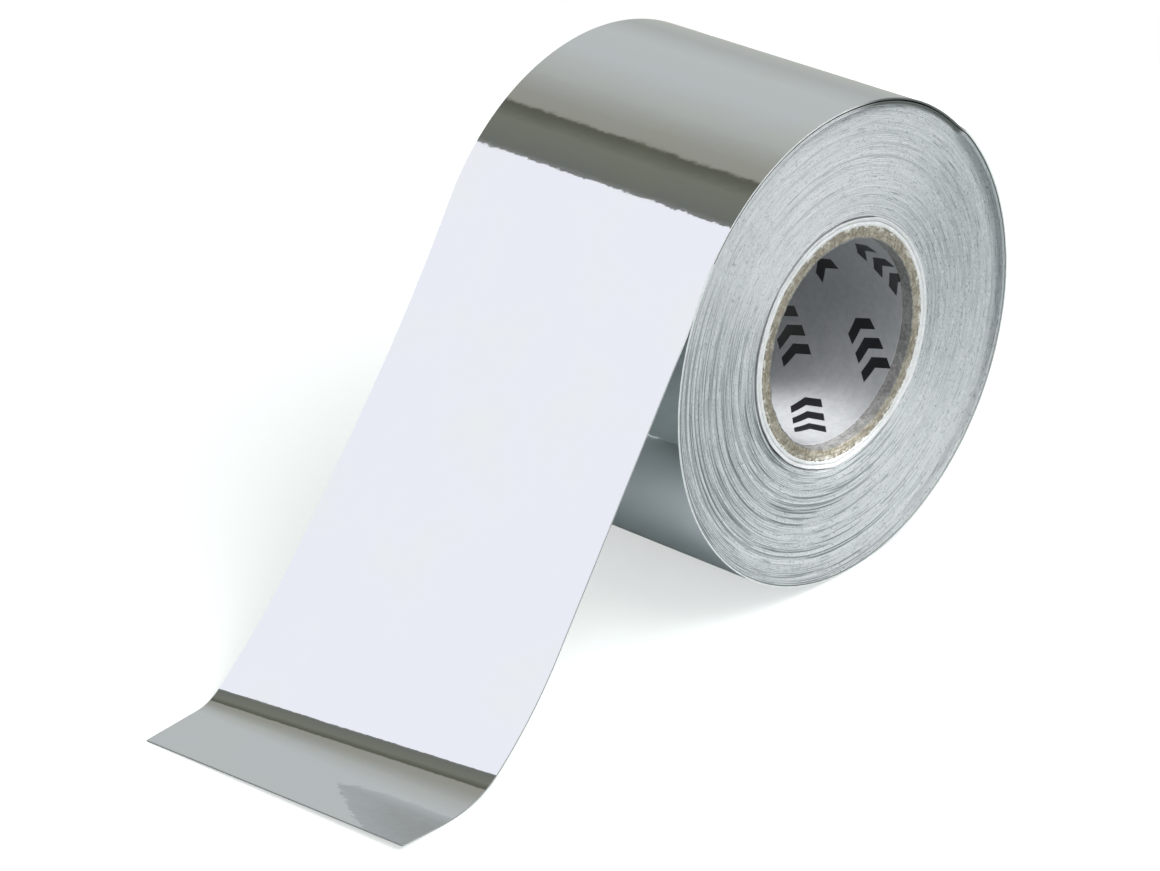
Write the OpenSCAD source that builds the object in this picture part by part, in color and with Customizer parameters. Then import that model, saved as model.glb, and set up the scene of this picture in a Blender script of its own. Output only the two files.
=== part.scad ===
// A roll of chrome trim tape on a paper core, with its tail unrolled.
//
// Millimetres. The roll's axis is Y, through the origin at mid-width, and +Z is up. The near end
// faces -Y. The tail leaves the roll on its -X side, drops, and lies flat on the table with its
// end, so the roll and the tail's foot rest on one level.
//
// The tape is one solid: the wound turns, the outermost turn and the tail. The turns' edges make
// the ridges on both end faces. The outermost turn is a true spiral of two half circles, which
// grows by one thickness of tape in a turn and leaves the roll as the tail.

/* [Roll] */

// diameter over the outermost turn
roll_d = 60; // [50:1:75]
// width of the tape
tape_w = 40; // [25:1:50]
// thickness of the film with its adhesive
tape_t = 0.21; // [0.15:0.01:0.3]

/* [Core] */

// hole through the core's liner
bore_d = 25.4; // [20:0.1:30]
// printed ply on the inside of the core
liner_t = 0.15; // [0.1:0.05:0.3]
// the core's board, between the liner and the cover
board_t = 1.65; // [1.2:0.05:4]
// smooth white plies on the outside of the core, under the first turn
cover_t = 0.75; // [0.3:0.05:1.2]
// how far the liner's edge stops short of the core's near end
liner_setback = 1.5; // [0:0.1:4]

/* [Turns] */

// ridges on an end face, each the edges of a few turns that lie together
ridges = 13; // [8:1:24]
// depth of the valleys between the ridges
valley_depth = 0.12; // [0.05:0.01:0.3]
// how far the ridges differ in height, as wound by hand
ridge_wander = 0.06; // [0:0.01:0.1]
// how far the last turns stand out at the near end, past the other turns and the core
near_step = 0.8; // [0:0.1:2]

/* [Tail] */

// where the tail leaves the roll, in degrees from +X over the top
leave_angle = 150; // [146:1:160]
// reverse bend where the tail peels off, to its chrome side
peel_r = 26; // [12:1:40]
// slope of the tail's straight run, in degrees below level
drop_slope = 49; // [40:0.5:55]
// bend at the bottom of the run, to its chrome side
foot_r = 21; // [12:1:25]
// flat length on the table
foot_len = 5; // [2:0.5:20]

/* [Rest] */

// width of the flat spot under the roll
flat_w = 4; // [2:0.5:6]

/* [Hidden] */

$fn = 180;

roll_r = roll_d / 2;
bore_r = bore_d / 2;
board_in_r = bore_r + liner_t;
board_out_r = board_in_r + board_t;
core_r = board_out_r + cover_t;
near_level = tape_w / 2 - near_step;

// The outermost turn starts one thickness inside roll_r, where it lies under the tail's root, and
// reaches roll_r after a full turn. Each half circle's centre is set off along the ray to the
// root, so the halves meet without a step. The first half starts root_lap further out, so that it
// meets the tail's back at a real angle.
root_lap = 0.03;
start_r = roll_r - tape_t + root_lap;
half_way_r = roll_r - tape_t / 2;
first_r = (start_r + half_way_r) / 2;
first_shift = start_r - first_r;
second_r = (roll_r + half_way_r) / 2;
second_shift = roll_r - second_r;

// The ridged turns stop under the last few turns, which lie even with the tape's edges, and the
// band of those turns reaches one thickness further in.
even_turns = 4;
wound_r = roll_r - even_turns * tape_t;
band_in_r = wound_r - tape_t;
ridge_pitch = (wound_r - core_r) / ridges;
// the wander's two waves, in degrees a ridge
wander_step = [77, 201];

// the table, level with the flat spot
flat_depth = first_r - sqrt(pow(first_r, 2) - pow(flat_w / 2, 2));
table_z = first_shift * sin(leave_angle) - first_r + flat_depth;

// The tail in the side view is a bend about peel_c, a straight run, a bend about foot_c and the
// foot, and its chrome side is the inside of both bends. It leaves root_rise above the outermost
// turn, so that the root crosses the turn's surface instead of touching it.
root_rise = 0.01;
root_angle = 1.5;
run_angle = 90 + drop_slope;
run_out = [cos(run_angle), sin(run_angle)];
run_down = [-run_out[1], run_out[0]];
peel_c = (roll_r + root_rise + peel_r) * [cos(leave_angle), sin(leave_angle)];
run_start = peel_c - peel_r * run_out;
foot_c_z = table_z + tape_t + foot_r;
run_len = (run_start[1] + foot_r * run_out[1] - foot_c_z) / -run_down[1];
foot_c = run_start + run_len * run_down + foot_r * run_out;
foot_end = foot_c[0] - foot_len;
peel_steps = 8;
foot_steps = 24;

// how far a cutting tool passes a face
past = 1;

// Draws in the side view, seen from the near end: x to the right, y up, z towards the viewer.
module side_view() rotate([90, 0, 0]) children();

// how far a ridge's crest lies below the level of its end
function crest_drop(i) =
    ridge_wander * (2 + sin(wander_step[0] * i) + sin(wander_step[1] * i)) / 4;

// the ridges of one end, level being its height over the tape's mid-width
function ridge_line(level) = [
    for (i = [0 : ridges - 1])
        each [
            [core_r + i * ridge_pitch, level - valley_depth],
            [core_r + (i + 0.5) * ridge_pitch, level - crest_drop(i)]
        ],
    [wound_r, level - valley_depth]
];

module wound_turns() {
    near = ridge_line(near_level);
    far = ridge_line(tape_w / 2);
    far_back = [for (i = [len(far) - 1 : -1 : 0]) [far[i][0], -far[i][1]]];
    rotate_extrude() polygon(concat(near, far_back));
}

// half of the outermost turn in the side view, from the ray at angle a round to the other side
module half_turn(r, shift, a) {
    rotate(leave_angle)
        translate([shift, 0])
            rotate(a)
                intersection() {
                    circle(r);
                    translate([-roll_d, 0]) square([2 * roll_d, roll_d]);
                }
}

// points of an arc about c, from one angle to another
function arc(c, r, from, to, steps) = [
    for (i = [0 : steps])
        let (a = from + (to - from) * i / steps)
            c + r * [cos(a), sin(a)]
];

// one side of the tail, out of the chrome side by depth
function tail_side(depth) = concat(
    arc(peel_c, peel_r + depth, leave_angle + 180, run_angle + 180, peel_steps),
    arc(foot_c, foot_r + depth, run_angle + 180, 270, foot_steps),
    [[foot_end, foot_c[1] - foot_r - depth]]
);

module tail_outline() {
    chrome = tail_side(0);
    back = tail_side(tape_t);
    root_r = roll_r - tape_t / 2;
    root = root_r * [cos(leave_angle - root_angle), sin(leave_angle - root_angle)];
    polygon(concat([root], chrome, [for (i = [len(back) - 1 : -1 : 0]) back[i]]));
}

// the last turns and the tail, which lie even at both ends
module last_turns_and_tail() {
    linear_extrude(height = tape_w, center = true)
        difference() {
            union() {
                half_turn(first_r, first_shift, 0);
                half_turn(second_r, second_shift, 180);
                tail_outline();
            }
            circle(band_in_r);
        }
}

module tape() {
    color("silver")
        difference() {
            side_view() {
                wound_turns();
                last_turns_and_tail();
            }
            // the flat spot
            translate([-roll_r, -tape_w / 2 - past, table_z - roll_r])
                cube([roll_d, tape_w + 2 * past, roll_r]);
        }
}

// a tube on the roll's axis, from y = near to y = far
module tube(out_r, in_r, near, far) {
    side_view()
        translate([0, 0, -far])
            difference() {
                cylinder(r = out_r, h = far - near);
                translate([0, 0, -past])
                    cylinder(r = in_r, h = far - near + 2 * past);
            }
}

module core_cover() {
    color("white")
        tube(core_r, board_out_r, -near_level, tape_w / 2);
}

module core_board() {
    color("burlywood")
        tube(board_out_r, board_in_r, -near_level, tape_w / 2);
}

module core_liner() {
    color("gainsboro")
        tube(board_in_r, bore_r, -near_level + liner_setback, tape_w / 2);
}

tape();
core_cover();
core_board();
core_liner();
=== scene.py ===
import math
from collections import namedtuple

import bpy
from mathutils import Matrix, Vector


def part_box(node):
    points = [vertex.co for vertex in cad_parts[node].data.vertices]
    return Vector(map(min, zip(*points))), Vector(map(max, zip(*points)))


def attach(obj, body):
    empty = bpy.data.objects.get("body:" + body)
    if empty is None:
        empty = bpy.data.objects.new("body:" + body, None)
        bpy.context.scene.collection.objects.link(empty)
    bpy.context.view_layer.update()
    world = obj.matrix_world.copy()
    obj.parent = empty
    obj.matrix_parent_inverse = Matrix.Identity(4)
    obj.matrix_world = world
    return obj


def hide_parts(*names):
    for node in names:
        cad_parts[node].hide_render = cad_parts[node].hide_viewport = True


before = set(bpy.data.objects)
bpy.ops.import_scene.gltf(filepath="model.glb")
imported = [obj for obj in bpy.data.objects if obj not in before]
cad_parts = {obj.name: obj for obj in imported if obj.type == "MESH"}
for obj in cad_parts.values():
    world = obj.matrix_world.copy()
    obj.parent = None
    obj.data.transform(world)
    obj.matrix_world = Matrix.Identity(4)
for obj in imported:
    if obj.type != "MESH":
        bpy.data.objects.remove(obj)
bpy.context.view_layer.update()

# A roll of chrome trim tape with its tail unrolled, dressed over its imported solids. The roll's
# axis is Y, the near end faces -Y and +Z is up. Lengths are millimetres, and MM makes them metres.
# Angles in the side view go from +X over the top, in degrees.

MM = 0.001


def drawn_size(length):
    """A length of the frame in millimetres, to the hundredth that the solids are drawn to."""
    return round(length / MM, 2)


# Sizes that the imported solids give
HALF_WIDTH = drawn_size(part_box("tape")[1].y)
CORE_NEAR = drawn_size(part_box("core_board")[0].y)
CORE_R = drawn_size(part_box("core_cover")[1].x)
BOARD_OUT_R = drawn_size(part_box("core_board")[1].x)
BOARD_IN_R = drawn_size(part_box("core_liner")[1].x)
TABLE_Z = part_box("tape")[0].z / MM

# Sizes of the tape and the bore. The last turns lie even with the tape's edges and make a lip.
ROLL_R = 30.0
TAPE_T = 0.21
BORE_R = 12.7
LIP_TURNS = 4
LIP_IN_R = ROLL_R - LIP_TURNS * TAPE_T


# Shaping tools

# segments round the rings, and how near two points lie to be welded into one
RING_SEGMENTS = 240
BOARD_SEGMENTS = 300
WELD = 0.002


def begin_point(x, y, z):
    """One loose point, the start of an edge line. In edit mode it joins the piece in hand."""
    bpy.ops.mesh.primitive_plane_add(size=MM, location=(x * MM, y * MM, z * MM))
    if bpy.context.mode != "EDIT_MESH":
        bpy.ops.object.mode_set(mode="EDIT")
    bpy.ops.mesh.merge(type="CENTER")


def spin_about(x, z, angle, steps):
    """Sweeps the selected end about an axis along Y, positive from +X over the top."""
    bpy.ops.mesh.spin(
        steps=steps, angle=math.radians(angle), center=(x * MM, 0, z * MM), axis=(0, 1, 0)
    )


def draw_on(points):
    """Extrudes the selected end point through a list of (x, z) points; the first is where it is."""
    for (x0, z0), (x1, z1) in zip(points, points[1:]):
        bpy.ops.mesh.extrude_vertices_move(
            TRANSFORM_OT_translate={"value": ((x1 - x0) * MM, 0, (z1 - z0) * MM)}
        )


def new_object(name):
    """Leaves edit mode, names the piece and puts its place in its mesh."""
    bpy.ops.object.mode_set(mode="OBJECT")
    piece = bpy.context.object
    piece.name = name
    piece.data.name = name
    bpy.ops.object.transform_apply(location=True, rotation=True, scale=True)
    return piece


def apply_modifier(piece, kind, **settings):
    modifier = piece.modifiers.new(kind.title(), kind)
    for key, value in settings.items():
        setattr(modifier, key, value)
    bpy.ops.object.modifier_apply(modifier=modifier.name)


def side_point(r, angle, x=0.0, z=0.0):
    """The point at a radius and an angle about (x, z) in the side view."""
    return x + r * math.cos(math.radians(angle)), z + r * math.sin(math.radians(angle))


def arc(x, z, r, start, end, steps):
    """Points of an arc about (x, z) in the side view."""
    return [side_point(r, start + (end - start) * i / steps, x, z) for i in range(steps + 1)]


def radius(p):
    """How far a point lies from the roll's axis."""
    return math.hypot(p.x, p.z)


def share(value):
    return max(0.0, min(1.0, value))


def flatten_below(piece, level):
    """Brings what hangs below a level up to it, as the table does."""
    for part in (piece.data.vertices, piece.data.edges, piece.data.polygons):
        for item in part:
            item.select = False
    for v in piece.data.vertices:
        v.select = v.co.z / MM < level
    bpy.ops.object.mode_set(mode="EDIT")
    bpy.ops.mesh.select_mode(type="VERT")
    bpy.ops.transform.resize(value=(1, 1, 0), center_override=(0, 0, level * MM))
    bpy.ops.object.mode_set(mode="OBJECT")


def ring_sweep(name, rows, segments):
    """A closed ring about the roll's axis. rows are (radius, y) round its section, and the last row
    is joined to the first."""
    r0, y0 = rows[0]
    bpy.ops.object.select_all(action="DESELECT")
    bpy.ops.mesh.primitive_circle_add(
        vertices=segments, radius=r0 * MM, location=(0, y0 * MM, 0),
        rotation=(math.pi / 2, 0, 0), fill_type="NOTHING",
    )
    bpy.ops.object.mode_set(mode="EDIT")
    bpy.ops.mesh.select_all(action="SELECT")
    for (ra, ya), (rb, yb) in zip(rows, rows[1:] + rows[:1]):
        bpy.ops.mesh.extrude_region_move(
            TRANSFORM_OT_translate={"value": (0, (yb - ya) * MM, 0)}
        )
        if rb != ra:
            bpy.ops.transform.resize(value=(rb / ra, 1, rb / ra), center_override=(0, 0, 0))
    bpy.ops.mesh.select_all(action="SELECT")
    bpy.ops.mesh.remove_doubles(threshold=WELD * MM)
    bpy.ops.mesh.normals_make_consistent(inside=False)
    return new_object(name)


def displace(piece, name, weigh, direction, distance, **settings):
    """Moves vertices along one axis, each by the weight that weigh gives for its place."""
    group = piece.vertex_groups.new(name=name)
    for v in piece.data.vertices:
        weight = weigh(v.co / MM)
        if weight > 0:
            group.add([v.index], weight, "REPLACE")
    apply_modifier(
        piece, "DISPLACE", direction=direction, strength=distance * MM, vertex_group=name,
        **settings,
    )
    piece.vertex_groups.clear()


def set_back(piece, weigh, distance):
    """Draws vertices back along +Y."""
    displace(piece, "set back", weigh, "Y", distance, mid_level=0.0)


def roughen(piece, name, grain, distance, picked, direction="Y"):
    """Moves the picked vertices in and out by soft noise of one grain size."""
    clouds = bpy.data.textures.new(name, "CLOUDS")
    clouds.noise_scale = grain * MM
    clouds.noise_depth = 2
    displace(
        piece, name, lambda p: 1.0 if picked(p) else 0.0, direction, distance,
        texture=clouds, texture_coords="GLOBAL", mid_level=0.5,
    )


# Material tools

def new_material(name):
    material = bpy.data.materials.new(name)
    material.use_nodes = True
    tree = material.node_tree
    tree.nodes.clear()
    shader = tree.nodes.new("ShaderNodeBsdfPrincipled")
    output = tree.nodes.new("ShaderNodeOutputMaterial")
    tree.links.new(shader.outputs["BSDF"], output.inputs["Surface"])
    return material, tree, shader


def put(tree, socket, value):
    """Links a socket to another, or gives it a number or a colour of red, green and blue."""
    if isinstance(value, bpy.types.NodeSocket):
        tree.links.new(value, socket)
    elif isinstance(value, tuple):
        socket.default_value = (*value, 1)
    else:
        socket.default_value = value


def calc(tree, operation, a, b=0.0, clamp=False):
    node = tree.nodes.new("ShaderNodeMath")
    node.operation = operation
    node.use_clamp = clamp
    put(tree, node.inputs[0], a)
    put(tree, node.inputs[1], b)
    return node.outputs[0]


def times(tree, a, b):
    return calc(tree, "MULTIPLY", a, b)


def over(tree, a, b):
    return calc(tree, "DIVIDE", a, b)


def minus(tree, a, b):
    return calc(tree, "SUBTRACT", a, b)


def plus(tree, first, *others):
    for value in others:
        first = calc(tree, "ADD", first, value)
    return first


def largest(tree, first, *others):
    for value in others:
        first = calc(tree, "MAXIMUM", first, value)
    return first


def under(tree, value, limit):
    return calc(tree, "LESS_THAN", value, limit)


def ramp(tree, value, low, high, to_low=0.0, to_high=1.0):
    """A soft step from to_low, where the value is low, to to_high, where it is high."""
    node = tree.nodes.new("ShaderNodeMapRange")
    node.interpolation_type = "SMOOTHSTEP"
    put(tree, node.inputs["Value"], value)
    put(tree, node.inputs["From Min"], low)
    put(tree, node.inputs["From Max"], high)
    put(tree, node.inputs["To Min"], to_low)
    put(tree, node.inputs["To Max"], to_high)
    return node.outputs["Result"]


def noise(tree, vector, scale, detail=2.0, rough=0.5):
    node = tree.nodes.new("ShaderNodeTexNoise")
    put(tree, node.inputs["Vector"], vector)
    node.inputs["Scale"].default_value = scale
    node.inputs["Detail"].default_value = detail
    node.inputs["Roughness"].default_value = rough
    return node.outputs["Fac"]


def mix(tree, amount, a, b):
    """Colour a, with as much of colour b as the amount says."""
    node = tree.nodes.new("ShaderNodeMix")
    node.data_type = "RGBA"
    put(tree, node.inputs[0], amount)
    # the sockets for colours are the seventh and eighth, and the third output
    put(tree, node.inputs[6], a)
    put(tree, node.inputs[7], b)
    return node.outputs[2]


def bump(tree, height, depth):
    node = tree.nodes.new("ShaderNodeBump")
    node.inputs["Distance"].default_value = depth * MM
    put(tree, node.inputs["Height"], height)
    return node.outputs["Normal"]


def new_group(name, outputs, inputs=()):
    """An empty node group with named float sockets, and its start and end nodes."""
    tree = bpy.data.node_groups.new(name, "ShaderNodeTree")
    for socket, default in inputs:
        made = tree.interface.new_socket(socket, in_out="INPUT", socket_type="NodeSocketFloat")
        made.default_value = default
    for socket in outputs:
        tree.interface.new_socket(socket, in_out="OUTPUT", socket_type="NodeSocketFloat")
    return tree, tree.nodes.new("NodeGroupInput"), tree.nodes.new("NodeGroupOutput")


def use_group(tree, group, **values):
    node = tree.nodes.new("ShaderNodeGroup")
    node.node_tree = group
    for key, value in values.items():
        put(tree, node.inputs[key], value)
    return node.outputs


def place(tree):
    """The point on the piece, in metres."""
    return tree.nodes.new("ShaderNodeTexCoord").outputs["Object"]


# A point about the roll's axis: its radius in mm, the cosine and sine of its angle in the side
# view, and its place in metres
AxisPlace = namedtuple("AxisPlace", "r cos sin x y z")


def about_axis(tree):
    split = tree.nodes.new("ShaderNodeSeparateXYZ")
    put(tree, split.inputs[0], place(tree))
    x, y, z = split.outputs
    r = calc(tree, "SQRT", plus(tree, times(tree, x, x), times(tree, z, z)))
    return AxisPlace(over(tree, r, MM), over(tree, x, r), over(tree, z, r), x, y, z)


def side_angle(tree, x, z):
    """The angle in the side view, in degrees."""
    return times(tree, calc(tree, "ARCTAN2", z, x), 180 / math.pi)


def ring_noise(tree, at, lane, across, along, detail=2.0, rough=0.6):
    """Noise drawn out round the axis: how fine it is across the turns, by their lane, and along
    them."""
    point = tree.nodes.new("ShaderNodeCombineXYZ")
    put(tree, point.inputs[0], times(tree, lane, across))
    put(tree, point.inputs[1], times(tree, at.cos, along))
    put(tree, point.inputs[2], times(tree, at.sin, along))
    return noise(tree, point.outputs[0], 1.0, detail, rough)


# The tape

# An edge of the tail, as the photograph shows it: the angle where it leaves the roll, the bend
# there, the slope of its run, the bends below it as (radius, slope at the bend's end), and the x
# where it ends. Slopes are below level, so a last one under 0 lifts the end a little.
TailEdge = namedtuple("TailEdge", "leave peel_r slope bends end")
NEAR_EDGE = TailEdge(149.5, 25.0, 51.2, ((52, 34.5), (9.5, 21), (15, 0), (22, -5.5)), -78.0)
FAR_EDGE = TailEdge(144.2, 208.0, 46.8, ((96, 34.5), (8, 21), (6, 0), (1200, -0.1)), -79.8)

# where the last turn ends and its tail begins
TURN_END = 138.0

# steps in each part of an edge line, and cuts across the film
HALF_TURN_STEPS = 150
ROOT_STEPS = 12
PEEL_STEPS = 30
RUN_STEPS = 40
BEND_STEPS = 24
FOOT_STEPS = 8
CUTS_ACROSS = 14

# The last turns' near edge lies set back at the top right: from the start angle on, fully once
# past the rise, then less and less over the fade before the end angle.
RECESS_START = 39.5
RECESS_RISE = 1.5
RECESS_END = 82
RECESS_FADE = 30
RECESS_DEPTH = 0.75

# How far the turns' edges lie in from the level of their end, and the open gap beside the core
TURNS_IN = 0.09
GAP_DEPTH = 0.6
GAP_WIDTH = 0.3

# The lip's section, as (how far out past its inner wall, how far in from the tape's edge)
LIP = ((0.02, 0.06), (0.1, 0.02), (0.19, 0.05), (0.21, 0.1), (0.25, 0.03), (0.38, 0.04), (0.41, 0.09))


def bend(points, r, slope, end_slope, steps):
    """Goes on from the last point round a bend to the chrome side, between slopes below level."""
    x, z = side_point(r, 90 + slope, *points[-1])
    points += arc(x, z, r, 270 + slope, 270 + end_slope, steps)[1:]


def straight(points, x, z, steps):
    """Goes on from the last point in even steps to (x, z)."""
    x0, z0 = points[-1]
    points += [(x0 + (x - x0) * i / steps, z0 + (z - z0) * i / steps) for i in range(1, steps + 1)]


def tail_line(edge):
    """The chrome side of one edge of the tail, from where the last turn ends to its end. Both edges
    get as many points in each part, so that the bends run straight across the film."""
    points = arc(0, 0, ROLL_R, TURN_END, edge.leave, ROOT_STEPS)
    bend(points, edge.peel_r, edge.leave - 90, edge.slope, PEEL_STEPS)

    # the run stops where the bends below it still have room to reach the table
    bends_height, before = 0.0, edge.slope
    for r, after in edge.bends:
        if after >= 0:
            bends_height += r * (math.cos(math.radians(after)) - math.cos(math.radians(before)))
            before = after
    x, z = points[-1]
    drop = z - bends_height - (TABLE_Z + TAPE_T)
    straight(points, x - drop / math.tan(math.radians(edge.slope)), z - drop, RUN_STEPS)

    before = edge.slope
    for r, after in edge.bends:
        bend(points, r, before, after, BEND_STEPS)
        before = after
    x, z = points[-1]
    rise = (edge.end - x) * math.tan(math.radians(before))
    straight(points, edge.end, z + rise, FOOT_STEPS)
    return points


def film_edge_line(y, edge):
    """One edge line of the last turn and the tail: a turn of two half circles, which grows by one
    thickness, then the tail."""
    start_x, start_z = side_point(ROLL_R - TAPE_T, TURN_END)
    shift_x, shift_z = side_point(TAPE_T / 4, TURN_END)
    begin_point(start_x, y, start_z)
    spin_about(-shift_x, -shift_z, 180, HALF_TURN_STEPS)
    spin_about(shift_x, shift_z, 180, HALF_TURN_STEPS)
    draw_on(tail_line(edge))


def short_at_the_top(p, in_r=0.0, edge_depth=0.01):
    """How much of the recess's depth a point of the near edge lies set back."""
    if p.y > edge_depth - HALF_WIDTH or p.x < 0 or radius(p) < in_r:
        return 0.0
    angle = math.degrees(math.atan2(p.z, p.x))
    return share((angle - RECESS_START) / RECESS_RISE) * share((RECESS_END - angle) / RECESS_FADE)


def make_last_turn_and_tail(chrome, back, cut_edge):
    bpy.ops.object.select_all(action="DESELECT")
    film_edge_line(-HALF_WIDTH, NEAR_EDGE)
    bpy.ops.mesh.select_all(action="DESELECT")
    film_edge_line(HALF_WIDTH, FAR_EDGE)
    bpy.ops.mesh.select_all(action="SELECT")
    bpy.ops.mesh.bridge_edge_loops(number_cuts=CUTS_ACROSS, interpolation="LINEAR")
    piece = new_object("last_turn_and_tail")
    top = max(piece.data.polygons, key=lambda face: face.center.z)
    if top.normal.z < 0:
        bpy.ops.object.mode_set(mode="EDIT")
        bpy.ops.mesh.select_all(action="SELECT")
        bpy.ops.mesh.flip_normals()
        bpy.ops.object.mode_set(mode="OBJECT")
    set_back(piece, short_at_the_top, RECESS_DEPTH)
    for material in (chrome, back, cut_edge):
        piece.data.materials.append(material)
    apply_modifier(
        piece, "SOLIDIFY", thickness=TAPE_T * MM, offset=-1, use_even_offset=True,
        material_offset=1, material_offset_rim=2,
    )
    flatten_below(piece, TABLE_Z)
    bpy.ops.object.shade_smooth_by_angle(angle=math.radians(40))
    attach(piece, "root")
    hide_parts("tape")


def end_rows(level, sign):
    """The turns' edges on one end, from the core outwards. Groups of turns lie a little in or out,
    and each turn's edge has a groove beside it."""
    gap_floor = sign * (level - GAP_DEPTH)
    rows = [(CORE_R, gap_floor), (CORE_R + GAP_WIDTH, gap_floor)]
    r = CORE_R + GAP_WIDTH + 0.04
    k = 0
    while r < LIP_IN_R - 0.1:
        slow_wave = 0.05 * math.sin(0.9 * k + 1.3 * math.sin(0.37 * k))
        group = slow_wave + 0.035 * math.sin(0.31 * k + 2)
        turn = 0.015 * math.sin(2.4 * k * k)
        groove = 0.05 + 0.05 * max(0.0, math.sin(1.7 * k + 0.6 * math.sin(k))) ** 4
        rows.append((r, sign * (level - TURNS_IN + group - groove)))
        rows.append((r + 0.6 * TAPE_T, sign * (level - TURNS_IN + group + turn)))
        r += TAPE_T
        k += 1
    return rows


def make_wound_turns(edges, outer_wall):
    near = end_rows(-CORE_NEAR, -1)
    far = end_rows(HALF_WIDTH, 1)
    near_lip = [(LIP_IN_R, CORE_NEAR + 0.1)]
    near_lip += [(LIP_IN_R + out, depth - HALF_WIDTH) for out, depth in LIP]
    far_lip = [(LIP_IN_R + out, HALF_WIDTH - depth) for out, depth in reversed(LIP[2:])]
    far_lip += [(LIP_IN_R, HALF_WIDTH - 0.1)]
    wall_r = LIP_IN_R + LIP[-1][0]
    rows = near + near_lip + [(wall_r, 0.0)] + far_lip + far[::-1]
    piece = ring_sweep("wound_turns", rows, RING_SEGMENTS)

    # the lip follows the recess of the last turn's edge, a hair less deep
    set_back(piece, lambda p: short_at_the_top(p, LIP_IN_R - 0.02, 0.5), RECESS_DEPTH - 0.03)

    def on_an_end(p):
        return abs(p.y) > HALF_WIDTH - 2 and CORE_R + 0.1 < radius(p) < LIP_IN_R - 0.05

    roughen(piece, "uneven winding", 5.0, 0.07, on_an_end)
    piece.data.materials.append(edges)
    piece.data.materials.append(outer_wall)
    for face in piece.data.polygons:
        on_the_wall = radius(face.center / MM) > wall_r - 0.01 and abs(face.normal.y) < 0.3
        face.material_index = 1 if on_the_wall else 0
    bpy.ops.object.shade_smooth_by_angle(angle=math.radians(50))
    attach(piece, "root")
    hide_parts("tape")


# The core

def make_core_plies(paper):
    """The two smooth white plies round the board, with a thin gap between them. They flutter at the
    near end, and the outer one flares over the first turns."""
    near, far = CORE_NEAR, HALF_WIDTH
    inside, outside = BOARD_OUT_R - 0.1, CORE_R
    gap_in, gap_out = BOARD_OUT_R + 0.42, BOARD_OUT_R + 0.47
    near_end = [
        (inside, near + 0.06), (inside + 0.05, near - 0.02), (gap_in - 0.06, near - 0.03),
        (gap_in, near + 0.05), (gap_in + 0.01, near + 0.5), (gap_out - 0.01, near + 0.5),
        (gap_out, near + 0.02), (gap_out + 0.06, near - 0.07), (outside + 0.14, near - 0.12),
        (outside + 0.18, near - 0.04), (outside, near + 0.15),
    ]
    far_end = [
        (outside, far), (outside - 0.06, far + 0.03), (gap_out, far), (gap_in, far - 0.03),
        (inside + 0.05, far), (inside, far - 0.05),
    ]
    piece = ring_sweep("core_plies", near_end + far_end, RING_SEGMENTS)
    for direction in "XYZ":
        roughen(piece, "ply flutter " + direction, 5.0, 0.32, lambda p: p.y < near + 0.6, direction)
    piece.data.materials.append(paper)
    bpy.ops.object.shade_smooth_by_angle(angle=math.radians(60))
    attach(piece, "root")
    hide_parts("core_cover")


def make_board(kraft):
    """The kraft board, its sawn ends a little torn."""
    steps = 10
    start_r, width = BOARD_IN_R + 0.06, BOARD_OUT_R - BOARD_IN_R - 0.1
    near = [(BOARD_IN_R + 0.02, CORE_NEAR + 0.12)]
    for i in range(steps + 1):
        near.append((start_r + width * i / steps, CORE_NEAR + 0.03 * math.sin(2.1 * i)))
    near.append((BOARD_OUT_R - 0.01, CORE_NEAR + 0.12))
    far = [(r, HALF_WIDTH + CORE_NEAR - y) for r, y in reversed(near)]
    piece = ring_sweep("board_ring", near + far, BOARD_SEGMENTS)

    def on_an_end(p):
        return abs(p.y) > HALF_WIDTH - 1.1 and radius(p) < BOARD_OUT_R - 0.03

    def at_the_near_end(p):
        return on_an_end(p) and p.y < 0

    def off_the_hole(p):
        return on_an_end(p) and radius(p) > BOARD_IN_R + 0.03

    roughen(piece, "torn fibres", 0.5, 0.3, off_the_hole)
    roughen(piece, "ragged edge", 1.2, 0.22, at_the_near_end, "X")
    roughen(piece, "ragged rim", 1.2, 0.22, at_the_near_end, "Z")
    piece.data.materials.append(kraft)
    bpy.ops.object.shade_smooth_by_angle(angle=math.radians(60))
    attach(piece, "root")
    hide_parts("core_board")


def finish_liner(paper):
    """The liner's solid is right as it is, and gets its finish."""
    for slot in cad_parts["core_liner"].material_slots:
        slot.material = paper


# Effects that finishes share

def make_film_waves():
    """Shallow waves of a film laid over adhesive, and the faint haze of handling."""
    tree, _, end = new_group("film waves", ("Waves", "Haze"))
    point = place(tree)
    broad = noise(tree, point, 160.0, 1.0, 0.4)
    fine = noise(tree, point, 700.0, 2.0, 0.5)
    put(tree, end.inputs["Waves"], plus(tree, broad, times(tree, fine, 0.28)))
    put(tree, end.inputs["Haze"], ramp(tree, noise(tree, point, 60.0, 3.0, 0.6), 0.45, 0.75))
    return tree


def make_fibres():
    """Short paper fibres: a fine speckle and the relief that goes with it."""
    tree, start, end = new_group("paper fibres", ("Speckle", "Relief"), (("Scale", 1.0),))
    scaled = tree.nodes.new("ShaderNodeVectorMath")
    scaled.operation = "SCALE"
    put(tree, scaled.inputs[0], place(tree))
    put(tree, scaled.inputs["Scale"], start.outputs["Scale"])
    fine = noise(tree, scaled.outputs[0], 2600.0, 3.0, 0.65)
    coarse = noise(tree, scaled.outputs[0], 800.0, 2.0, 0.6)
    both = plus(tree, times(tree, fine, 0.65), times(tree, coarse, 0.35))
    put(tree, end.inputs["Speckle"], ramp(tree, both, 0.38, 0.62))
    put(tree, end.inputs["Relief"], plus(tree, fine, times(tree, coarse, 0.6)))
    return tree


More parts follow.
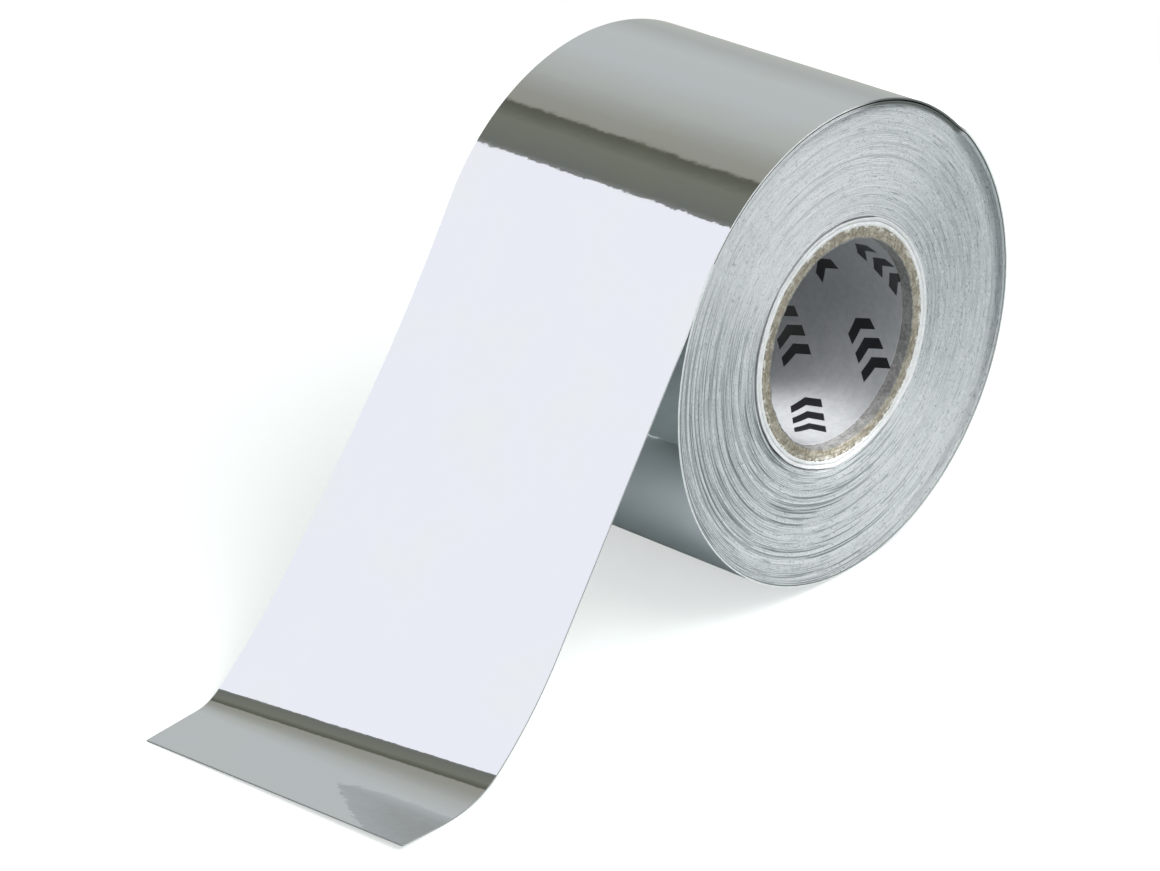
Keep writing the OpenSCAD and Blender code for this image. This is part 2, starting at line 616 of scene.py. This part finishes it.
def make_turn_lines_and_painted_light():
    """Lines that run round the axis: long dark ones low on the left, short broken ones and flecks
    elsewhere, broad tone changes from turn to turn, and their relief. Dark also holds painted shade
    towards the right of the end face, and Light holds painted light at its top and bottom."""
    tree, _, end = new_group("turn lines and painted light", ("Dark", "Light", "Tone", "Relief"))
    at = about_axis(tree)
    # a lane is a radius on an end, and a place along the axis on a wall
    lane = plus(tree, at.r, times(tree, at.y, 0.8 / MM))
    long_lines = ring_noise(tree, at, lane, 6.2, 1.4)
    short_lines = ring_noise(tree, at, lane, 6.5, 8.0)
    specks = ring_noise(tree, at, lane, 6.0, 60.0)

    to_low_left = plus(tree, times(tree, at.cos, -0.72), times(tree, at.sin, -0.69))
    low_left = ramp(tree, to_low_left, -0.1, 0.75)
    strength = plus(tree, times(tree, low_left, 0.6), 0.26)
    dark_lines = times(tree, ramp(tree, long_lines, 0.51, 0.63), strength)
    dark_breaks = times(tree, ramp(tree, short_lines, 0.55, 0.72), 0.6)
    dark_flecks = times(tree, ramp(tree, specks, 0.56, 0.74), 0.7)
    dark = largest(tree, dark_lines, dark_breaks, dark_flecks)
    # painted shade: darker towards the right side of the end face
    right = ramp(tree, at.cos, 0.55, 1.0, 0.0, 0.16)
    put(tree, end.inputs["Dark"], calc(tree, "ADD", right, dark, clamp=True))

    light_flecks = ramp(tree, specks, 0.44, 0.28)
    light_breaks = times(tree, ramp(tree, short_lines, 0.42, 0.3), 0.6)
    # painted light: lighter towards the top and bottom of the end face
    painted_light_high_and_low = ramp(tree, calc(tree, "ABSOLUTE", at.sin), 0.1, 1.0, 0.0, 0.42)
    put(tree, end.inputs["Light"], largest(tree, light_flecks, light_breaks, painted_light_high_and_low))

    put(tree, end.inputs["Tone"], ring_noise(tree, at, lane, 0.55, 0.9, rough=0.5))
    relief = plus(tree, long_lines, times(tree, short_lines, 0.7), times(tree, specks, 0.4))
    put(tree, end.inputs["Relief"], relief)
    return tree


def make_recess():
    """Where the last turns lie set back at the near end's top, as a mask by angle."""
    tree, _, end = new_group("top recess", ("Mask",))
    at = about_axis(tree)
    angle = side_angle(tree, at.cos, at.sin)
    begun = ramp(tree, angle, RECESS_START - 0.5, RECESS_START + RECESS_RISE)
    fading = ramp(tree, angle, RECESS_END - 8, RECESS_END + 6, 1.0, 0.0)
    on_the_lip = ramp(tree, at.r, LIP_IN_R - 0.1, LIP_IN_R + 0.05)
    mask = times(tree, times(tree, begun, fading), on_the_lip)
    put(tree, end.inputs["Mask"], times(tree, mask, under(tree, at.y, 0.0)))
    return tree


def from_middle(tree, count, pitch):
    """How far a point lies from the middle of its cell, where count is its place in cells."""
    return times(tree, minus(tree, calc(tree, "FRACT", count), 0.5), pitch)


def make_print():
    """Three plain chevrons in staggered rows on the slant of the spiral ply, and the ply's joint."""
    half_breadth, half_length, lean_back = 1.9, 4.0, 0.6
    bar_pitch, bar_share = 2.72, 0.56
    tree, _, end = new_group("ply print", ("Ink", "Joint"))
    at = about_axis(tree)
    round_bore = times(tree, calc(tree, "ARCTAN2", at.z, at.x), BORE_R)
    along_bore = over(tree, at.y, MM)
    slant = math.sqrt(0.5)
    along_ply = times(tree, plus(tree, round_bore, along_bore), slant)
    across_ply = times(tree, minus(tree, along_bore, round_bore), slant)
    round_trip = 2 * math.pi * BORE_R * slant
    column_pitch, row_pitch = round_trip / 4, round_trip / 6

    rows = over(tree, across_ply, row_pitch)
    shift = times(tree, calc(tree, "FLOOR", rows), 0.5)
    columns = plus(tree, over(tree, along_ply, column_pitch), shift)
    aside = calc(tree, "ABSOLUTE", from_middle(tree, rows, row_pitch))
    lean = plus(tree, from_middle(tree, columns, column_pitch), times(tree, aside, lean_back))
    off_middle = calc(tree, "ABSOLUTE", minus(tree, lean, 0.5))
    inside = times(tree, under(tree, aside, half_breadth), under(tree, off_middle, half_length))
    bars = calc(tree, "FRACT", over(tree, plus(tree, lean, half_length - 0.5), bar_pitch))
    put(tree, end.inputs["Ink"], times(tree, inside, under(tree, bars, bar_share)))

    turns = calc(tree, "FRACT", over(tree, across_ply, round_trip))
    off_seam = calc(tree, "ABSOLUTE", minus(tree, turns, 0.31))
    put(tree, end.inputs["Joint"], ramp(tree, off_seam, 0.0, 0.004, 1.0, 0.0))
    return tree


# Finishes

# the shade inside the recess of the last turns
RECESS_SHADE = (0.10, 0.115, 0.11)


def mirror_film(film_waves):
    """The tape's chrome side."""
    material, tree, shader = new_material("mirror_film")
    waves = use_group(tree, film_waves)
    clear, hazy = (0.81, 0.832, 0.905), (0.815, 0.848, 0.872)
    put(tree, shader.inputs["Base Color"], mix(tree, waves["Haze"], clear, hazy))
    shader.inputs["Metallic"].default_value = 1.0
    put(tree, shader.inputs["Roughness"], ramp(tree, waves["Haze"], 0, 1, 0.035, 0.07))
    put(tree, shader.inputs["Normal"], bump(tree, waves["Waves"], 0.03))
    return material


def shaded_film(film_waves):
    """Chrome that other turns keep dark, on the outer wall of the wound turns."""
    material, tree, shader = new_material("shaded_film")
    waves = use_group(tree, film_waves)
    clear, hazy = (0.16, 0.175, 0.18), (0.20, 0.215, 0.22)
    put(tree, shader.inputs["Base Color"], mix(tree, waves["Haze"], clear, hazy))
    shader.inputs["Metallic"].default_value = 1.0
    shader.inputs["Roughness"].default_value = 0.25
    return material


def adhesive_back(film_waves):
    """The tape's back, a grey film with a soft gloss."""
    material, tree, shader = new_material("adhesive_back")
    waves = use_group(tree, film_waves)
    clear, hazy = (0.62, 0.67, 0.65), (0.68, 0.73, 0.71)
    put(tree, shader.inputs["Base Color"], mix(tree, waves["Haze"], clear, hazy))
    shader.inputs["Metallic"].default_value = 0.3
    put(tree, shader.inputs["Roughness"], ramp(tree, waves["Haze"], 0, 1, 0.32, 0.45))
    put(tree, shader.inputs["Normal"], bump(tree, waves["Waves"], 0.04))
    return material


def film_edge(fibres, recess):
    """The film's cut edge: pale on the roll, grey along the tail, dark in the recess."""
    material, tree, shader = new_material("film_edge")
    spots = use_group(tree, fibres, Scale=0.6)
    grey, white, tail_grey = (0.74, 0.77, 0.78), (0.90, 0.92, 0.93), (0.26, 0.27, 0.28)
    on_the_tail = ramp(tree, about_axis(tree).r, ROLL_R + 0.1, ROLL_R + 1.5, 0.0, 0.75)
    edge = mix(tree, on_the_tail, mix(tree, spots["Speckle"], grey, white), tail_grey)
    edge = mix(tree, use_group(tree, recess)["Mask"], edge, RECESS_SHADE)
    put(tree, shader.inputs["Base Color"], edge)
    shader.inputs["Roughness"].default_value = 0.45
    put(tree, shader.inputs["Normal"], bump(tree, spots["Relief"], 0.02))
    return material


def turn_edges(turn_lines_and_painted_light, recess):
    """The cut edges of the wound turns, grey with dark and light lines, with painted shade towards
    the right and painted light at the top and bottom.
    """
    material, tree, shader = new_material("turn_edges")
    lines = use_group(tree, turn_lines_and_painted_light)
    grey, pale_grey = (0.57, 0.60, 0.625), (0.645, 0.67, 0.69)
    pale_line_and_painted_light, dark_line_and_painted_shade = (0.86, 0.87, 0.88), (0.115, 0.145, 0.155)
    edges = mix(tree, ramp(tree, lines["Tone"], 0.35, 0.65), grey, pale_grey)
    # pale lines, and the painted light at the top and bottom of the end face
    edges = mix(tree, lines["Light"], edges, pale_line_and_painted_light)
    # dark lines, and the painted shade towards the right of the end face
    edges = mix(tree, times(tree, lines["Dark"], 0.95), edges, dark_line_and_painted_shade)
    edges = mix(tree, use_group(tree, recess)["Mask"], edges, RECESS_SHADE)
    put(tree, shader.inputs["Base Color"], edges)
    shader.inputs["Roughness"].default_value = 0.42
    put(tree, shader.inputs["Normal"], bump(tree, lines["Relief"], 0.05))
    return material


def white_ply(fibres):
    """The smooth white paper of the core's outer plies."""
    material, tree, shader = new_material("white_ply")
    spots = use_group(tree, fibres, Scale=0.7)
    dull, white = (0.80, 0.81, 0.82), (0.93, 0.93, 0.94)
    put(tree, shader.inputs["Base Color"], mix(tree, spots["Speckle"], dull, white))
    shader.inputs["Roughness"].default_value = 0.55
    put(tree, shader.inputs["Normal"], bump(tree, spots["Relief"], 0.03))
    return material


def kraft_board(fibres):
    """The board: brown speckled plies, white torn flecks near their outside, and a grey wall
    towards the hole."""
    material, tree, shader = new_material("kraft_board")
    spots = use_group(tree, fibres, Scale=0.8)
    at = about_axis(tree)
    brown, tan, pale_tan, torn_white = (
        (0.245, 0.22, 0.17), (0.46, 0.425, 0.35), (0.62, 0.59, 0.51), (0.80, 0.79, 0.76)
    )
    wall_grey, pale_wall_grey = (0.20, 0.20, 0.195), (0.34, 0.335, 0.33)
    plies = ring_noise(tree, at, at.r, 3.0, 5.0)
    board = mix(tree, spots["Speckle"], brown, tan)
    board = mix(tree, ramp(tree, plies, 0.55, 0.75, 0.0, 0.6), board, pale_tan)
    torn = ramp(tree, ring_noise(tree, at, at.r, 1.6, 16.0, 3.0, 0.65), 0.52, 0.60)
    near_outside = ramp(tree, at.r, BOARD_OUT_R - 0.75, BOARD_OUT_R - 0.15)
    board = mix(tree, times(tree, torn, near_outside), board, torn_white)
    on_the_wall = ramp(tree, at.r, BOARD_IN_R + 0.12, BOARD_IN_R + 0.32, 1.0, 0.0)
    wall = mix(tree, spots["Speckle"], wall_grey, pale_wall_grey)
    put(tree, shader.inputs["Base Color"], mix(tree, on_the_wall, board, wall))
    shader.inputs["Roughness"].default_value = 0.9
    shader.inputs["Specular IOR Level"].default_value = 0.3
    put(tree, shader.inputs["Normal"], bump(tree, spots["Relief"], 0.12))
    return material


def printed_liner(fibres, ply_print):
    """The glossy grey ply inside the hole, with its print and joint."""
    material, tree, shader = new_material("printed_liner")
    spots = use_group(tree, fibres, Scale=0.5)
    printed = use_group(tree, ply_print)
    grey, pale_grey = (0.43, 0.44, 0.455), (0.48, 0.49, 0.505)
    joint_grey, ink = (0.35, 0.35, 0.36), (0.012, 0.012, 0.014)
    paper = mix(tree, spots["Speckle"], grey, pale_grey)
    paper = mix(tree, printed["Joint"], paper, joint_grey)
    put(tree, shader.inputs["Base Color"], mix(tree, printed["Ink"], paper, ink))
    shader.inputs["Roughness"].default_value = 0.3
    shader.inputs["Coat Weight"].default_value = 0.3
    shader.inputs["Coat Roughness"].default_value = 0.15
    put(tree, shader.inputs["Normal"], bump(tree, spots["Relief"], 0.015))
    return material


# The studio

# the soft light from all round
SOFT_LIGHT = (0.93, 0.97, 1.0)
SOFT_STRENGTH = 0.36

# The table, in millimetres, with the share of white that its own glow gives it. Gloss doesn't see
# that glow in the roll's own shade, which this box holds with a soft border.
TABLE_R = 170.0
TABLE_X = -30.0
TABLE_GAP = 0.02
TABLE_COLOUR = (0.76, 0.81, 0.775)
TABLE_GLOW = 0.54
SHADE_LEFT = (-80, -90)
SHADE_RIGHT = (10, 30)
SHADE_SIDES = (25, 45)

# Tones of the grey panel that the chrome sees, by direction in the side view, and its size
PANEL = (
    (-40, (0.27, 0.28, 0.27)), (-30, (0.50, 0.51, 0.47)), (-8, (0.47, 0.49, 0.455)),
    (2, (0.46, 0.48, 0.45)), (22, (0.56, 0.58, 0.54)), (44, (0.555, 0.575, 0.54)),
    (58, (0.51, 0.525, 0.48)), (66, (0.47, 0.485, 0.435)), (72, (0.41, 0.415, 0.365)),
    (80, (0.355, 0.35, 0.295)), (87, (0.34, 0.335, 0.275)), (88.6, (0.115, 0.115, 0.085)),
    (92, (0.14, 0.145, 0.108)), (97, (0.20, 0.205, 0.16)), (104, (0.19, 0.195, 0.155)),
    (110.5, (0.17, 0.18, 0.15)), (113, (0.24, 0.245, 0.225)),
)
PANEL_R = 3000.0
PANEL_LENGTH = 12000.0
PANEL_STEPS = 150


def make_world():
    """White for the camera, gloss and glass, and soft light for the rest."""
    world = bpy.data.worlds.new("studio")
    bpy.context.scene.world = world
    world.use_nodes = True
    tree = world.node_tree
    tree.nodes.clear()
    rays = tree.nodes.new("ShaderNodeLightPath").outputs
    seen = largest(tree, rays["Is Camera Ray"], rays["Is Glossy Ray"], rays["Is Transmission Ray"])
    backdrop = tree.nodes.new("ShaderNodeBackground")
    put(tree, backdrop.inputs["Color"], (1, 1, 1))
    soft = tree.nodes.new("ShaderNodeBackground")
    put(tree, soft.inputs["Color"], SOFT_LIGHT)
    soft.inputs["Strength"].default_value = SOFT_STRENGTH
    both = tree.nodes.new("ShaderNodeMixShader")
    put(tree, both.inputs[0], seen)
    put(tree, both.inputs[1], soft.outputs[0])
    put(tree, both.inputs[2], backdrop.outputs[0])
    out = tree.nodes.new("ShaderNodeOutputWorld")
    tree.links.new(both.outputs[0], out.inputs["Surface"])


def add_lamp(name, kind, stand, aim, **settings):
    """A lamp that shines from its stand towards a point, unseen by the camera and by gloss."""
    data = bpy.data.lights.new(name, kind)
    for key, value in settings.items():
        setattr(data, key, value)
    lamp = bpy.data.objects.new(name, data)
    bpy.context.scene.collection.objects.link(lamp)
    lamp.location = stand
    lamp.rotation_euler = (aim - stand).to_track_quat("-Z", "Y").to_euler()
    lamp.visible_glossy = False
    lamp.visible_camera = False


def make_lamps():
    add_lamp(
        "softbox", "AREA", Vector((80, -520, 660)) * MM, Vector((0, 0, 0)),
        shape="RECTANGLE", size=0.7, size_y=0.5, energy=5.0,
    )
    # a narrow lamp through the bore's near end, on the liner's low side
    liner_spot = Vector((-1.5, -11.5, -12.6)) * MM
    add_lamp(
        "snoot", "SPOT", liner_spot + Vector((30, -145, 135)) * MM, liner_spot,
        energy=2.8, spot_size=math.radians(5.2), spot_blend=1.0, shadow_soft_size=0.002,
    )


def make_table():
    bpy.ops.object.select_all(action="DESELECT")
    bpy.ops.mesh.primitive_circle_add(
        vertices=96, radius=TABLE_R * MM, fill_type="NGON",
        location=(TABLE_X * MM, 0, (TABLE_Z - TABLE_GAP) * MM),
    )
    floor = bpy.context.object
    floor.name = "table"
    bpy.ops.object.transform_apply(location=True, rotation=True, scale=True)

    material, tree, shader = new_material("white_table")
    put(tree, shader.inputs["Base Color"], TABLE_COLOUR)
    shader.inputs["Roughness"].default_value = 1.0
    shader.inputs["Specular IOR Level"].default_value = 0.0
    put(tree, shader.inputs["Emission Color"], (1, 1, 1))
    at = about_axis(tree)
    x, aside = over(tree, at.x, MM), calc(tree, "ABSOLUTE", over(tree, at.y, MM))
    unshaded = largest(
        tree, ramp(tree, x, *SHADE_LEFT), ramp(tree, x, *SHADE_RIGHT), ramp(tree, aside, *SHADE_SIDES)
    )
    rays = tree.nodes.new("ShaderNodeLightPath").outputs
    mirrored = largest(tree, rays["Is Glossy Ray"], rays["Is Transmission Ray"])
    seen = largest(tree, rays["Is Camera Ray"], times(tree, mirrored, unshaded))
    put(tree, shader.inputs["Emission Strength"], times(tree, seen, TABLE_GLOW))
    floor.data.materials.append(material)


def make_grey_panel():
    """A long arch over the roll that only gloss sees, its tone changing with direction."""
    low, high = PANEL[0][0], PANEL[-1][0]
    bpy.ops.object.select_all(action="DESELECT")
    start_x, start_z = side_point(PANEL_R, low)
    begin_point(start_x, -PANEL_LENGTH / 2, start_z)
    spin_about(0, 0, high - low, PANEL_STEPS)
    bpy.ops.mesh.select_all(action="SELECT")
    bpy.ops.mesh.extrude_region_move(TRANSFORM_OT_translate={"value": (0, PANEL_LENGTH * MM, 0)})
    panel = new_object("grey_panel")

    material = bpy.data.materials.new("grey_panel")
    material.use_nodes = True
    tree = material.node_tree
    tree.nodes.clear()
    at = about_axis(tree)
    tones = tree.nodes.new("ShaderNodeValToRGB")
    put(tree, tones.inputs[0], over(tree, minus(tree, side_angle(tree, at.x, at.z), low), high - low))
    stops = tones.color_ramp.elements
    while len(stops) < len(PANEL):
        stops.new(0.5)
    for stop, (angle, tone) in zip(stops, PANEL):
        stop.position = (angle - low) / (high - low)
        stop.color = (*tone, 1)
    glow = tree.nodes.new("ShaderNodeEmission")
    put(tree, glow.inputs["Color"], tones.outputs[0])
    out = tree.nodes.new("ShaderNodeOutputMaterial")
    tree.links.new(glow.outputs[0], out.inputs["Surface"])
    panel.data.materials.append(material)
    panel.visible_camera = False
    panel.visible_diffuse = False
    panel.visible_shadow = False
    panel.visible_transmission = False


# The camera, as fitted to the photograph: its place in millimetres, where it looks, what lies to
# its right, and its focal length in the photograph's pixels
PHOTO_WIDTH = 1160
FOCAL_PIXELS = 4855.706
SENSOR_WIDTH = 36.0
CAMERA_PLACE = Vector((-379.8561, -355.0459, 266.1881))
CAMERA_LOOK = Vector((0.620274, 0.621540, -0.478485))
CAMERA_RIGHT = Vector((0.680359, -0.729889, -0.066139))


def make_camera():
    data = bpy.data.cameras.new("camera")
    data.sensor_fit = "HORIZONTAL"
    data.sensor_width = SENSOR_WIDTH
    data.lens = FOCAL_PIXELS / PHOTO_WIDTH * SENSOR_WIDTH
    data.clip_start = 0.01
    data.clip_end = 100.0
    camera = bpy.data.objects.new("camera", data)
    bpy.context.scene.collection.objects.link(camera)
    look = CAMERA_LOOK.normalized()
    right = (CAMERA_RIGHT - CAMERA_RIGHT.dot(look) * look).normalized()
    basis = Matrix((right, right.cross(look), -look)).transposed().to_4x4()
    basis.translation = CAMERA_PLACE * MM
    camera.matrix_world = basis
    bpy.context.scene.camera = camera


bpy.context.scene.view_settings.view_transform = "Standard"
film_waves = make_film_waves()
fibres = make_fibres()
turn_lines_and_painted_light = make_turn_lines_and_painted_light()
recess = make_recess()
ply_print = make_print()
make_camera()
make_last_turn_and_tail(
    mirror_film(film_waves), adhesive_back(film_waves), film_edge(fibres, recess)
)
make_wound_turns(turn_edges(turn_lines_and_painted_light, recess), shaded_film(film_waves))
make_core_plies(white_ply(fibres))
make_board(kraft_board(fibres))
finish_liner(printed_liner(fibres, ply_print))
make_world()
make_lamps()
make_table()
make_grey_panel()
